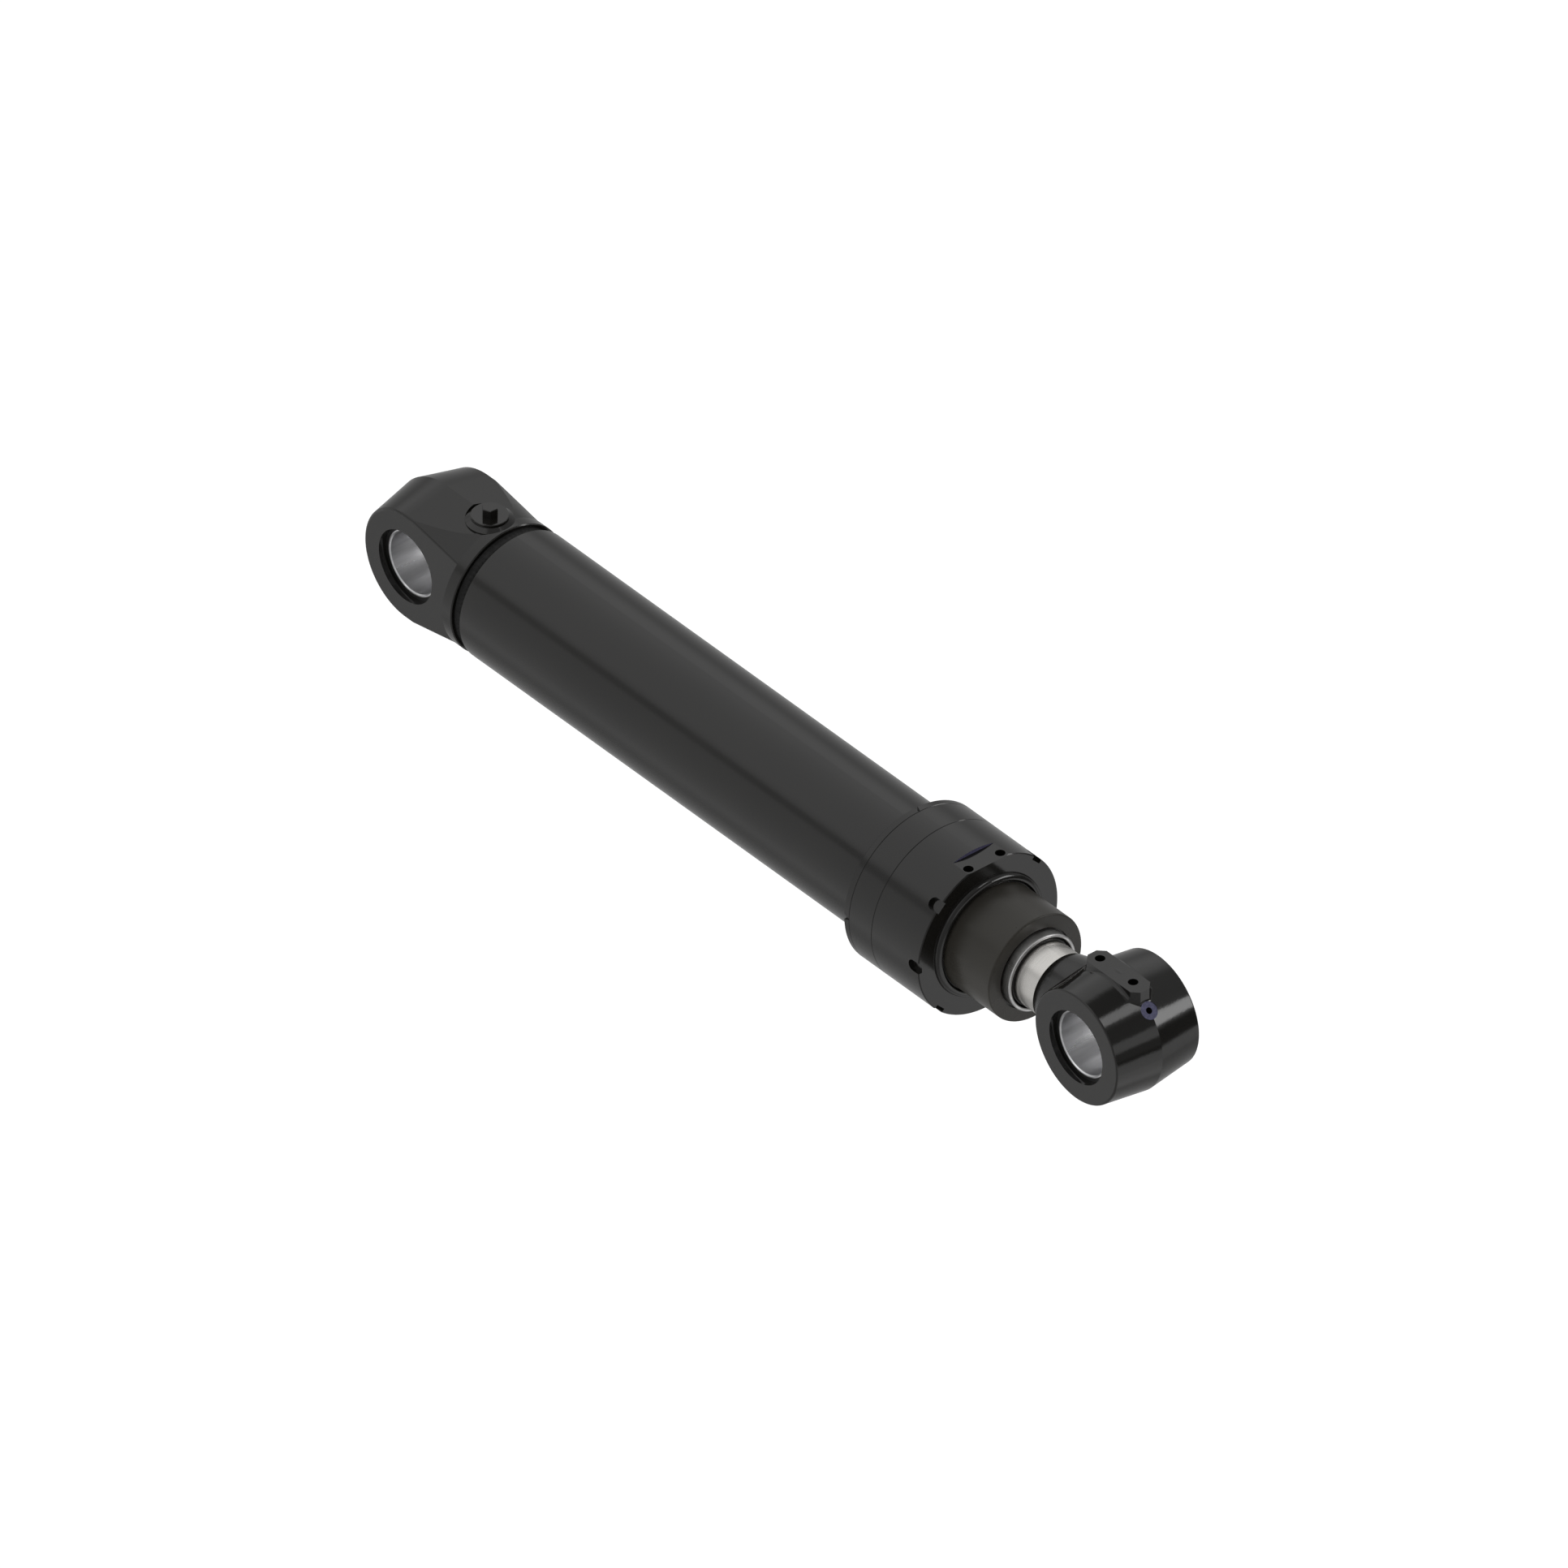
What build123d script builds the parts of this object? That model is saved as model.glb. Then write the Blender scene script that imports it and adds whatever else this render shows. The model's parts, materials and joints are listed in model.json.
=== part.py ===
from build123d import *
import os
from math import atan2, cos, degrees, radians, sin, tan

# Telescopic hydraulic cylinder, fully closed. Millimetres.
# Origin: centre of the base eye's bore. +X runs along the cylinder towards the rod eye,
# Y is the axis of both eye bores, +Z is up.

# ---------------------------------------------------------------- driving dimensions
PIN_TO_PIN = 982.0          # base eye bore to rod eye bore, fully closed
PIN_R = 32.5                # bore of both bushes
EYE_HALF_WIDTH = 51.6       # both eyes, along Y

BARREL_R = 70.0
BARREL_BORE_R = 62.0
STAGE_R = 58.0
STAGE_BORE_R = 48.0
ROD_R = 35.0
COLLAR_R = 87.0

FIT = 0.05                  # radial clearance of a running fit
LAND = 0.3                  # clearance of a metal land that a guide band keeps off
EDGE = 1.0                  # usual broken edge

# Stations along X
BASE_SHOULDER_X = 75.5      # back of the base casting's full-diameter shoulder
BASE_FACE_X = 88.3          # front of that shoulder, one side of the weld groove
BARREL_BACK_X = 100.0       # other side of the weld groove
BASE_SPIGOT_X = 112.0
NUT_RECESS_X = 98.0         # floor of the recess in the spigot that takes the rod's nut
STAGE_BACK_X = 114.0
STAGE_PISTON_X = 170.0      # front of the stage's piston ring
ROD_PISTON_BACK_X = 128.5
ROD_PISTON_X = 172.5        # front of the rod's piston
TRANSFER_X = 176.0          # oil holes through the stage tube
LOCK_RING_X = 683.5
GLAND_X = 724.0             # split line between the collar's two rings
BARREL_FRONT_X = 740.0
CHAMBER_X = 750.0           # front of the gland's oil chamber
COLLAR_FACE_X = 793.0
HEAD_SPIGOT_X = 742.0
HEAD_X = 796.0              # stage tube ends, stage head begins
HEAD_FACE_X = 862.0
SHANK_X = 900.0             # rod eye's shank begins
ROD_EYE_X = PIN_TO_PIN

# Eyes: bush, recess and dust seal, the same at both ends
BUSH_SEAT_R = 38.8
BUSH_RIM_R = 34.9
BUSH_HALF = EYE_HALF_WIDTH - 8.4
BUSH_BODY_HALF = 35.0
SEAL_HALF = BUSH_HALF - 0.4
GREASE_R = 3.3
GREASE_GROOVE_DEPTH = 1.5
GREASE_GROOVE_HALF = 4.0
BUSH_HOLE_R = 2.0
GREASE_FACE_R = 9.0
GREASE_FACE_DEPTH = 1.5     # spot face, below the eye's widest line
BORE_CHAMFER = 1.2

# Base casting
BASE_EYE_R = 71.5           # at the middle plane; it drafts in towards the cheeks
BASE_DRAFT = 12.5
CHEEK_CONE_R = 80.0         # cone that the cheeks' corners are turned to, at the bore
CHEEK_CONE_SLOPE = 0.14
CHEEK_CONE_BACK_X = -100.0
CHEEK_CONE_FRONT_X = 80.0
CHEEK_EDGE_R = 3.0
CHEEK_END_X = 64.5          # where the shoulder rises from the cheeks
NUT_RECESS_R = 40.0
PORT_X = 62.0
PORT_SPOT_R = 23.9          # milled circle round the boss
PORT_SPOT_Z = 68.0
PORT_SPOT_CUT = 20.0        # metal filled below the milled circle and cleared above it
PORT_BOSS_R = 18.8          # top of the boss, a cone that widens to the milled circle
PORT_TOP_Z = 71.1
PORT_THREAD_R = 15.3
PORT_DEPTH = 24.0
PORT_SEAT_R = 17.6
PORT_SEAT_DEPTH = 1.5
PASSAGE_R = 8.0
PLUG_FLANGE_R = 18.6
PLUG_FLANGE_TOP_Z = 74.2
PLUG_HEX_FLATS = 14.3
PLUG_HEX_TOP_Z = 83.0
PLUG_HEX_TURN = -36.0
PLUG_THREAD_LENGTH = 14.0
PLUG_EDGE = 0.6
WELD_EDGE_R = 66.6          # the weld's surface, where it meets the groove's walls
WELD_MIDDLE_R = 64.6

# Collar
SLOT_ANGLES = (45, 135, 180, 225, 315)   # from +Y towards +Z
SLOT_WIDTH = 12.4
SLOT_LENGTH = 14.4
SLOT_DEPTH = 4.6
NOTCH_ANGLES = (0, 90, 180, 270)
NOTCH_LENGTH = 9.0
NOTCH_HALF_WIDTH = 4.2
NOTCH_DEPTH = 3.5
SCRIBE_X = 691.3            # fine V groove round the lock ring
SCRIBE_WIDTH = 0.9
SCRIBE_DEPTH = 0.5
FLAT_Z = 83.2
FLAT_X = 770.0
COLLAR_TAP_R = 5.1
COLLAR_TAP_X = 786.0
COLLAR_TAP_Y = 19.8
COLLAR_TAP_DEPTH = 15.0
WIPER_SEAT_X = 783.0
WIPER_IN_R = 60.0
WIPER_OUT_R = 67.0
WIPER_NOSE_X = 798.2
ROD_PORT_X = 745.0
ROD_PORT_R = 9.3
ROD_PORT_FLOOR_R = 74.0
ROD_PORT_FACE_R = 14.0
ROD_PORT_FACE_DEPTH = 1.5
ROD_PASSAGE_R = 4.0

# Rod eye
ROD_EYE_R = 66.5            # at the middle plane
ROD_EYE_DRAFT = 7.0
ROD_CHEEK_EDGE_R = 2.0
SHANK_R = 36.4
SHANK_FLARE = 15.0          # degrees
SHANK_END_X = 955.0
PILOT_R = 15.0
PILOT_DEPTH = 15.0
PAD_ROOT_Z = 40.0           # well inside the eye
PAD_TOP_Z = 66.2
PAD_LENGTH = 77.7
PAD_WIDTH = 25.0
PAD_SHIFT = 0.8
PAD_CORNER = 7.0
PAD_FOOT_R = 5.0
PAD_TAP_R = 5.1
PAD_TAP_SPACING = 48.4
PAD_TAP_SHIFT = -2.0
PAD_TAP_DEPTH = 16.0

# Grooves, as (back x, front x, radius of the groove's floor)
GLAND_GUIDE = (753.0, 765.0, 60.5)
GLAND_SEAL = (769.0, 778.0, 64.0)
GLAND_O_RING = (64.6, 67.4, 2.4)         # inner radius, outer radius, depth
HEAD_GUIDE = (762.0, 776.0, 37.5)
HEAD_SEAL = (820.0, 830.0, 41.0)
HEAD_O_RING = (748.0, 752.0, 45.2)
STAGE_SEAL = (137.0, 148.0, 57.0)
STAGE_BANDS = ((120.0, 131.0, 59.2), (154.0, 165.0, 59.2))
ROD_SEAL = (145.0, 156.0, 40.0)
ROD_BANDS = ((132.5, 141.5, 45.4), (159.5, 168.5, 45.4))
RETAINING_RING = (124.0, 128.0, 50.5)
RETAINING_RING_IN_R = 42.0

LIP_SPREAD = 1.6            # half the opening between a pressure seal's lips
LIP_DEPTH = 4.0
SEAL_BEVEL = 2.5
SEAL_BEVEL_DEPTH = 1.2

LIP_RING_R = 41.6
LIP_RING_IN_R = 38.0
LIP_RING_BACK_X = 850.0
LIP_RING_X = 872.6
LIP_RING_GAP_R = 43.6
LIP_RING_GAP_X = 859.0

os.makedirs("parts", exist_ok=True)


# ---------------------------------------------------------------- shared shapes
def turn(*outline, mode=Mode.ADD):
    """Revolve a closed outline of (x, radius) points about the cylinder's axis."""
    with BuildSketch(Plane.XZ) as profile:
        with BuildLine():
            Polyline(*outline, close=True)
        make_face()
    revolve(profile.sketch, axis=Axis.X, mode=mode)


def ring(back, front, inner, outer, mode=Mode.ADD):
    """A plain ring about the cylinder's axis."""
    turn((back, inner), (front, inner), (front, outer), (back, outer), mode=mode)


def radial_plane(x, radius, angle):
    """A plane facing out from the cylinder's axis, its local x along +X."""
    out = (0, cos(radians(angle)), sin(radians(angle)))
    return Plane(origin=(x, radius * out[1], radius * out[2]), x_dir=(1, 0, 0), z_dir=out)


def drafted_eye(x, radius, length, draft):
    """An eye blank on the middle plane, drafted both ways to the cheeks.

    length is how far its straight sides run on from the bore's centre.
    """
    for side in (1, -1):
        with BuildSketch(Plane(origin=(x, 0, 0), x_dir=(1, 0, 0), z_dir=(0, side, 0))) as outline:
            Circle(radius)
            if length:
                with Locations((length / 2, 0)):
                    Rectangle(length, 2 * radius)
        extrude(outline.sketch, amount=EYE_HALF_WIDTH, taper=draft)


def cross_bore(x, radius, mode=Mode.SUBTRACT):
    """A cylinder along Y through an eye."""
    with BuildSketch(Plane(origin=(x, 0, 0), x_dir=(1, 0, 0), z_dir=(0, 1, 0))) as circle:
        Circle(radius)
    extrude(circle.sketch, amount=EYE_HALF_WIDTH + 5, both=True, mode=mode)


def grease_port(eye_x, direction, face_distance):
    """A spot face and a drilled hole from an eye's outside to its bush."""
    out = Vector(*direction).normalized()
    floor = Plane(origin=Vector(eye_x, 0, 0) + out * face_distance, x_dir=(0, 1, 0), z_dir=out)
    with BuildSketch(floor) as face:
        Circle(GREASE_FACE_R)
    extrude(face.sketch, amount=10, mode=Mode.SUBTRACT)
    with BuildSketch(floor) as hole:
        Circle(GREASE_R)
    extrude(hole.sketch, amount=-(face_distance - BUSH_SEAT_R + 3), mode=Mode.SUBTRACT)


def cheek_edges(part, reach):
    """The outlines of an eye's two flat cheeks, back from reach along X."""
    edges = part.edges()
    return [e for e in edges if abs(abs(e.center().Y) - EYE_HALF_WIDTH) < 0.02 and e.center().X < reach]


def bush_ring(x, inner, outer, half):
    """A ring about an eye's bore, from -half to +half along Y."""
    with BuildSketch(Plane(origin=(x, 0, 0), x_dir=(1, 0, 0), z_dir=(0, 1, 0))) as wall:
        Circle(outer)
        Circle(inner, mode=Mode.SUBTRACT)
    extrude(wall.sketch, amount=half, both=True)


def eye_bush(x):
    """A steel bush: full diameter in the middle, a thinner rim standing out at each end."""
    bush_ring(x, PIN_R, BUSH_SEAT_R, BUSH_BODY_HALF)
    bush_ring(x, PIN_R, BUSH_RIM_R, BUSH_HALF)
    for side in (1, -1):
        mouth = Plane(origin=(x, side * BUSH_HALF, 0), x_dir=(1, 0, 0), z_dir=(0, -side, 0))
        with BuildSketch(mouth) as chamfer_mouth:
            Circle(PIN_R + BORE_CHAMFER)
        extrude(chamfer_mouth.sketch, amount=BORE_CHAMFER, taper=45, mode=Mode.SUBTRACT)
    with BuildSketch(Plane(origin=(x, 0, 0), x_dir=(1, 0, 0), z_dir=(0, 1, 0))) as groove:
        Circle(BUSH_SEAT_R)
        Circle(BUSH_SEAT_R - GREASE_GROOVE_DEPTH, mode=Mode.SUBTRACT)
    extrude(groove.sketch, amount=GREASE_GROOVE_HALF, both=True, mode=Mode.SUBTRACT)
    for angle in (45, 135, 225, 315):
        out = Vector(cos(radians(angle)), 0, sin(radians(angle)))
        start = Vector(x, 0, 0) + out * (PIN_R - 2)
        with BuildSketch(Plane(origin=start, x_dir=(0, 1, 0), z_dir=out)) as hole:
            Circle(BUSH_HOLE_R)
        extrude(hole.sketch, amount=BUSH_SEAT_R - PIN_R + 4, mode=Mode.SUBTRACT)


def eye_seals(x):
    """Two flat-faced dust seals, one round each rim of the bush."""
    for side in (1, -1):
        back = Plane(origin=(x, side * (BUSH_BODY_HALF + 0.2), 0), x_dir=(1, 0, 0), z_dir=(0, side, 0))
        with BuildSketch(back) as body:
            Circle(BUSH_SEAT_R)
            Circle(BUSH_RIM_R, mode=Mode.SUBTRACT)
        extrude(body.sketch, amount=SEAL_HALF - BUSH_BODY_HALF - 0.2)


def lip_seal(groove, inner):
    """A seal with two lips that face the oil, towards the base end."""
    back, front, floor_r = groove
    middle_r = (inner + floor_r) / 2
    turn(
        (back, inner), (front, inner), (front, floor_r), (back, floor_r),
        (back, middle_r + LIP_SPREAD), (back + LIP_DEPTH, middle_r), (back, middle_r - LIP_SPREAD),
    )


def piston_seal(groove, bore):
    """A seal in a piston's groove, bevelled both ways where it runs on the bore."""
    back, front, floor_r = groove
    turn(
        (back + FIT, floor_r + FIT), (front - FIT, floor_r + FIT), (front - FIT, bore - SEAL_BEVEL_DEPTH),
        (front - SEAL_BEVEL, bore - FIT), (back + SEAL_BEVEL, bore - FIT), (back + FIT, bore - SEAL_BEVEL_DEPTH),
    )


def save(part, name):
    """Label a finished piece and write its file."""
    part.label = name
    export_step(part, f"parts/{name}.step")


# ---------------------------------------------------------------- base end
with BuildPart() as base_eye_casting:
    drafted_eye(0, BASE_EYE_R, BASE_FACE_X, BASE_DRAFT)
    # The cheeks' corners are turned to a cone that narrows towards the barrel.
    cone_back_r = CHEEK_CONE_R - CHEEK_CONE_BACK_X * CHEEK_CONE_SLOPE
    cone_front_r = CHEEK_CONE_R - CHEEK_CONE_FRONT_X * CHEEK_CONE_SLOPE
    turn(
        (CHEEK_CONE_BACK_X, 0), (CHEEK_CONE_BACK_X, cone_back_r),
        (CHEEK_CONE_FRONT_X, cone_front_r), (CHEEK_CONE_FRONT_X, 0),
        mode=Mode.INTERSECT,
    )
    fillet(cheek_edges(base_eye_casting, CHEEK_CONE_FRONT_X - EDGE), CHEEK_EDGE_R)
    # Shoulder, weld spigot and the recess that takes the rod's nut
    turn(
        (CHEEK_END_X, 0), (CHEEK_END_X, EYE_HALF_WIDTH), (BASE_SHOULDER_X, BARREL_R),
        (BASE_FACE_X - EDGE, BARREL_R), (BASE_FACE_X, BARREL_R - EDGE),
        (BASE_FACE_X, BARREL_BORE_R), (BASE_SPIGOT_X, BARREL_BORE_R),
        (BASE_SPIGOT_X, NUT_RECESS_R), (NUT_RECESS_X, NUT_RECESS_R), (NUT_RECESS_X, 0),
    )
    cross_bore(0, BUSH_SEAT_R)
    # A port on top, closed by a plug, and the same port underneath, left open
    for side in (1, -1):
        spot_plane = Plane(origin=(PORT_X, 0, side * PORT_SPOT_Z), x_dir=(1, 0, 0), z_dir=(0, 0, side))
        boss_height = PORT_TOP_Z - PORT_SPOT_Z
        with BuildSketch(spot_plane) as spot:
            Circle(PORT_SPOT_R)
        extrude(spot.sketch, amount=-PORT_SPOT_CUT)
        extrude(spot.sketch, amount=PORT_SPOT_CUT, mode=Mode.SUBTRACT)
        boss_taper = degrees(atan2(PORT_SPOT_R - PORT_BOSS_R, boss_height))
        extrude(spot.sketch, amount=boss_height, taper=boss_taper)
        with BuildSketch(spot_plane.offset(boss_height)) as seat:
            Circle(PORT_SEAT_R)
        extrude(seat.sketch, amount=-PORT_SEAT_DEPTH, mode=Mode.SUBTRACT)
        with BuildSketch(spot_plane.offset(boss_height)) as thread:
            Circle(PORT_THREAD_R)
        extrude(thread.sketch, amount=-PORT_DEPTH, mode=Mode.SUBTRACT)
    with BuildSketch(Plane.XY) as upright_passage:
        with Locations((PORT_X, 0)):
            Circle(PASSAGE_R)
    extrude(upright_passage.sketch, amount=PORT_SPOT_Z, both=True, mode=Mode.SUBTRACT)
    with BuildSketch(Plane.YZ.offset(PORT_X)) as long_passage:
        Circle(PASSAGE_R)
    extrude(long_passage.sketch, amount=NUT_RECESS_X + EDGE - PORT_X, mode=Mode.SUBTRACT)
    grease_port(0, (-1, 0, -1), BASE_EYE_R - GREASE_FACE_DEPTH)
save(base_eye_casting.part, "base_eye_casting")

with BuildPart() as base_eye_bush:
    eye_bush(0)
save(base_eye_bush.part, "base_eye_bush")

with BuildPart() as base_dust_seals:
    eye_seals(0)
save(base_dust_seals.part, "base_dust_seals")

with BuildPart() as base_port_plug:
    # A flange with a small hexagon on top and the threaded body below
    with BuildSketch(Plane.XY.offset(PORT_TOP_Z)) as plug_flange:
        with Locations((PORT_X, 0)):
            Circle(PLUG_FLANGE_R)
    extrude(plug_flange.sketch, amount=PLUG_FLANGE_TOP_Z - PORT_TOP_Z)
    chamfer(base_port_plug.edges().group_by(Axis.Z)[-1], PLUG_EDGE)
    with BuildSketch(Plane.XY.offset(PLUG_FLANGE_TOP_Z)) as plug_hexagon:
        with Locations((PORT_X, 0)):
            RegularPolygon(PLUG_HEX_FLATS / 2, 6, major_radius=False, rotation=PLUG_HEX_TURN)
    extrude(plug_hexagon.sketch, amount=PLUG_HEX_TOP_Z - PLUG_FLANGE_TOP_Z)
    chamfer(base_port_plug.edges().group_by(Axis.Z)[-1], PLUG_EDGE)
    with BuildSketch(Plane.XY.offset(PORT_TOP_Z)) as plug_thread:
        with Locations((PORT_X, 0)):
            Circle(PORT_THREAD_R)
    extrude(plug_thread.sketch, amount=-PLUG_THREAD_LENGTH)
save(base_port_plug.part, "base_port_plug")

with BuildPart() as base_port_plug_seal:
    with BuildSketch(Plane.XY.offset(PORT_TOP_Z - PORT_SEAT_DEPTH)) as plug_seal_ring:
        with Locations((PORT_X, 0)):
            Circle(PORT_SEAT_R)
            Circle(PORT_THREAD_R + 0.4, mode=Mode.SUBTRACT)
    extrude(plug_seal_ring.sketch, amount=PORT_SEAT_DEPTH)
save(base_port_plug_seal.part, "base_port_plug_seal")

with BuildPart() as base_weld:
    # A hollow root run at the bottom of the groove
    with BuildSketch(Plane.XZ) as bead:
        with BuildLine():
            Line((BASE_FACE_X, BARREL_BORE_R), (BARREL_BACK_X, BARREL_BORE_R))
            Line((BARREL_BACK_X, BARREL_BORE_R), (BARREL_BACK_X, WELD_EDGE_R))
            ThreePointArc(
                (BARREL_BACK_X, WELD_EDGE_R),
                ((BASE_FACE_X + BARREL_BACK_X) / 2, WELD_MIDDLE_R),
                (BASE_FACE_X, WELD_EDGE_R),
            )
            Line((BASE_FACE_X, WELD_EDGE_R), (BASE_FACE_X, BARREL_BORE_R))
        make_face()
    revolve(bead.sketch, axis=Axis.X)
save(base_weld.part, "base_weld")

# ---------------------------------------------------------------- barrel and collar
with BuildPart() as barrel_tube:
    turn(
        (BARREL_BACK_X, BARREL_BORE_R), (BARREL_FRONT_X, BARREL_BORE_R), (BARREL_FRONT_X, BARREL_R),
        (BARREL_BACK_X + EDGE, BARREL_R), (BARREL_BACK_X, BARREL_R - EDGE),
    )
save(barrel_tube.part, "barrel_tube")

with BuildPart() as collar_lock_ring:
    turn(
        (LOCK_RING_X, BARREL_R), (GLAND_X, BARREL_R), (GLAND_X, COLLAR_R - 0.5),
        (GLAND_X - 0.5, COLLAR_R), (LOCK_RING_X + EDGE, COLLAR_R), (LOCK_RING_X, COLLAR_R - EDGE),
    )
    turn(
        (SCRIBE_X - SCRIBE_WIDTH / 2, COLLAR_R), (SCRIBE_X, COLLAR_R - SCRIBE_DEPTH),
        (SCRIBE_X + SCRIBE_WIDTH / 2, COLLAR_R), (SCRIBE_X, COLLAR_R + 1),
        mode=Mode.SUBTRACT,
    )
    # Small three-cornered notches in the back edge
    for notch_angle in NOTCH_ANGLES:
        with BuildSketch(radial_plane(LOCK_RING_X, COLLAR_R + 1, notch_angle)) as notch:
            with BuildLine():
                Polyline((-1, -NOTCH_HALF_WIDTH), (-1, NOTCH_HALF_WIDTH), (NOTCH_LENGTH, 0), close=True)
            make_face()
        extrude(notch.sketch, amount=-(NOTCH_DEPTH + 1), mode=Mode.SUBTRACT)
save(collar_lock_ring.part, "collar_lock_ring")

LAND_R = STAGE_R + LAND

with BuildPart() as collar_gland:
    turn(
        (GLAND_X, BARREL_R), (BARREL_FRONT_X, BARREL_R), (BARREL_FRONT_X, 60), (CHAMBER_X, 60),
        (CHAMBER_X, LAND_R), (GLAND_GUIDE[0], LAND_R), (GLAND_GUIDE[0], GLAND_GUIDE[2]),
        (GLAND_GUIDE[1], GLAND_GUIDE[2]), (GLAND_GUIDE[1], LAND_R), (GLAND_SEAL[0], LAND_R),
        (GLAND_SEAL[0], GLAND_SEAL[2]), (GLAND_SEAL[1], GLAND_SEAL[2]), (GLAND_SEAL[1], LAND_R),
        (WIPER_SEAT_X, LAND_R), (WIPER_SEAT_X, WIPER_OUT_R), (COLLAR_FACE_X, WIPER_OUT_R),
        (COLLAR_FACE_X, COLLAR_R - EDGE), (COLLAR_FACE_X - EDGE, COLLAR_R),
        (GLAND_X + 0.5, COLLAR_R), (GLAND_X, COLLAR_R - 0.5),
    )
    # Groove for the static seal, in the shoulder that meets the barrel's end
    ring(BARREL_FRONT_X, BARREL_FRONT_X + GLAND_O_RING[2], GLAND_O_RING[0], GLAND_O_RING[1], mode=Mode.SUBTRACT)
    # Spanner slots, open to the front face and rounded at the back
    for slot_angle in SLOT_ANGLES:
        with BuildSketch(radial_plane(COLLAR_FACE_X, COLLAR_R + 1, slot_angle)) as slot:
            with Locations((-SLOT_LENGTH + SLOT_WIDTH / 2, 0)):
                Circle(SLOT_WIDTH / 2)
            with Locations((1 - (SLOT_LENGTH - SLOT_WIDTH / 2 + 1) / 2, 0)):
                Rectangle(SLOT_LENGTH - SLOT_WIDTH / 2 + 1, SLOT_WIDTH)
        extrude(slot.sketch, amount=-(SLOT_DEPTH + 1), mode=Mode.SUBTRACT)
    # Milled flat on top with two tapped holes
    with BuildSketch(Plane.XY.offset(FLAT_Z)) as milled_flat:
        with Locations(((FLAT_X + COLLAR_FACE_X + 2) / 2, 0)):
            Rectangle(COLLAR_FACE_X + 2 - FLAT_X, 80)
    extrude(milled_flat.sketch, amount=10, mode=Mode.SUBTRACT)
    with BuildSketch(Plane.XY.offset(FLAT_Z)) as collar_taps:
        with Locations((COLLAR_TAP_X, -COLLAR_TAP_Y), (COLLAR_TAP_X, COLLAR_TAP_Y)):
            Circle(COLLAR_TAP_R)
    extrude(collar_taps.sketch, amount=-COLLAR_TAP_DEPTH, mode=Mode.SUBTRACT)
    # Port for the return oil, underneath, with its drilling into the chamber
    for port_radius, outer_end, inner_end in (
        (ROD_PORT_FACE_R, COLLAR_R + 1, COLLAR_R - ROD_PORT_FACE_DEPTH),
        (ROD_PORT_R, COLLAR_R + 1, ROD_PORT_FLOOR_R),
        (ROD_PASSAGE_R, ROD_PORT_FLOOR_R + 1, STAGE_R + 1),
    ):
        with BuildSketch(radial_plane(ROD_PORT_X, outer_end, 270)) as port_step:
            Circle(port_radius)
        extrude(port_step.sketch, amount=inner_end - outer_end, mode=Mode.SUBTRACT)
save(collar_gland.part, "collar_gland")

with BuildPart() as gland_o_ring:
    o_ring_r = (GLAND_O_RING[0] + GLAND_O_RING[1]) / 2
    with BuildSketch(Plane.XZ) as gland_o_ring_section:
        with Locations((BARREL_FRONT_X + 1.2, o_ring_r)):
            Circle(1.2)
    revolve(gland_o_ring_section.sketch, axis=Axis.X)
save(gland_o_ring.part, "gland_o_ring")

with BuildPart() as gland_guide_band:
    ring(GLAND_GUIDE[0], GLAND_GUIDE[1], STAGE_R + FIT, GLAND_GUIDE[2])
save(gland_guide_band.part, "gland_guide_band")

with BuildPart() as gland_pressure_seal:
    lip_seal(GLAND_SEAL, STAGE_R + FIT)
save(gland_pressure_seal.part, "gland_pressure_seal")

with BuildPart() as gland_wiper_ring:
    with BuildSketch(Plane.XZ) as wiper_ring_section:
        with BuildLine():
            Polyline(
                (COLLAR_FACE_X, WIPER_OUT_R), (WIPER_SEAT_X, WIPER_OUT_R),
                (WIPER_SEAT_X, WIPER_IN_R), (WIPER_NOSE_X - 0.8, WIPER_IN_R),
            )
            ThreePointArc(
                (WIPER_NOSE_X - 0.8, WIPER_IN_R), (WIPER_NOSE_X - 0.2, WIPER_IN_R + 0.5),
                (WIPER_NOSE_X, WIPER_IN_R + 1.4),
            )
            ThreePointArc(
                (WIPER_NOSE_X, WIPER_IN_R + 1.4), (WIPER_NOSE_X - 1.5, WIPER_IN_R + 5.1),
                (COLLAR_FACE_X, WIPER_OUT_R),
            )
        make_face()
    revolve(wiper_ring_section.sketch, axis=Axis.X)
save(gland_wiper_ring.part, "gland_wiper_ring")

with BuildPart() as gland_wiper_lip:
    turn(
        (WIPER_SEAT_X, STAGE_R + FIT), (WIPER_SEAT_X, WIPER_IN_R), (WIPER_NOSE_X - 4, WIPER_IN_R),
        (WIPER_NOSE_X - 2.6, STAGE_R + 0.6), (WIPER_NOSE_X - 2.6, STAGE_R + FIT),
    )
save(gland_wiper_lip.part, "gland_wiper_lip")

# ---------------------------------------------------------------- stage one
STAGE_THREAD_R = 54.0

with BuildPart() as stage_tube:
    turn(
        (STAGE_BACK_X, STAGE_BORE_R), (RETAINING_RING[0], STAGE_BORE_R),
        (RETAINING_RING[0], RETAINING_RING[2]),
        (RETAINING_RING[1], RETAINING_RING[2]), (RETAINING_RING[1], STAGE_BORE_R), (HEAD_X, STAGE_BORE_R),
        (HEAD_X, STAGE_R), (STAGE_PISTON_X, STAGE_R), (STAGE_PISTON_X, STAGE_THREAD_R),
        (STAGE_BACK_X, STAGE_THREAD_R),
    )
    # Oil holes that feed the space round the rod
    for hole_angle in (0, 90, 180, 270):
        with BuildSketch(radial_plane(TRANSFER_X, STAGE_BORE_R - 2, hole_angle)) as transfer_hole:
            Circle(3)
        extrude(transfer_hole.sketch, amount=STAGE_R - STAGE_BORE_R + 4, mode=Mode.SUBTRACT)
save(stage_tube.part, "stage_tube")

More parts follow.
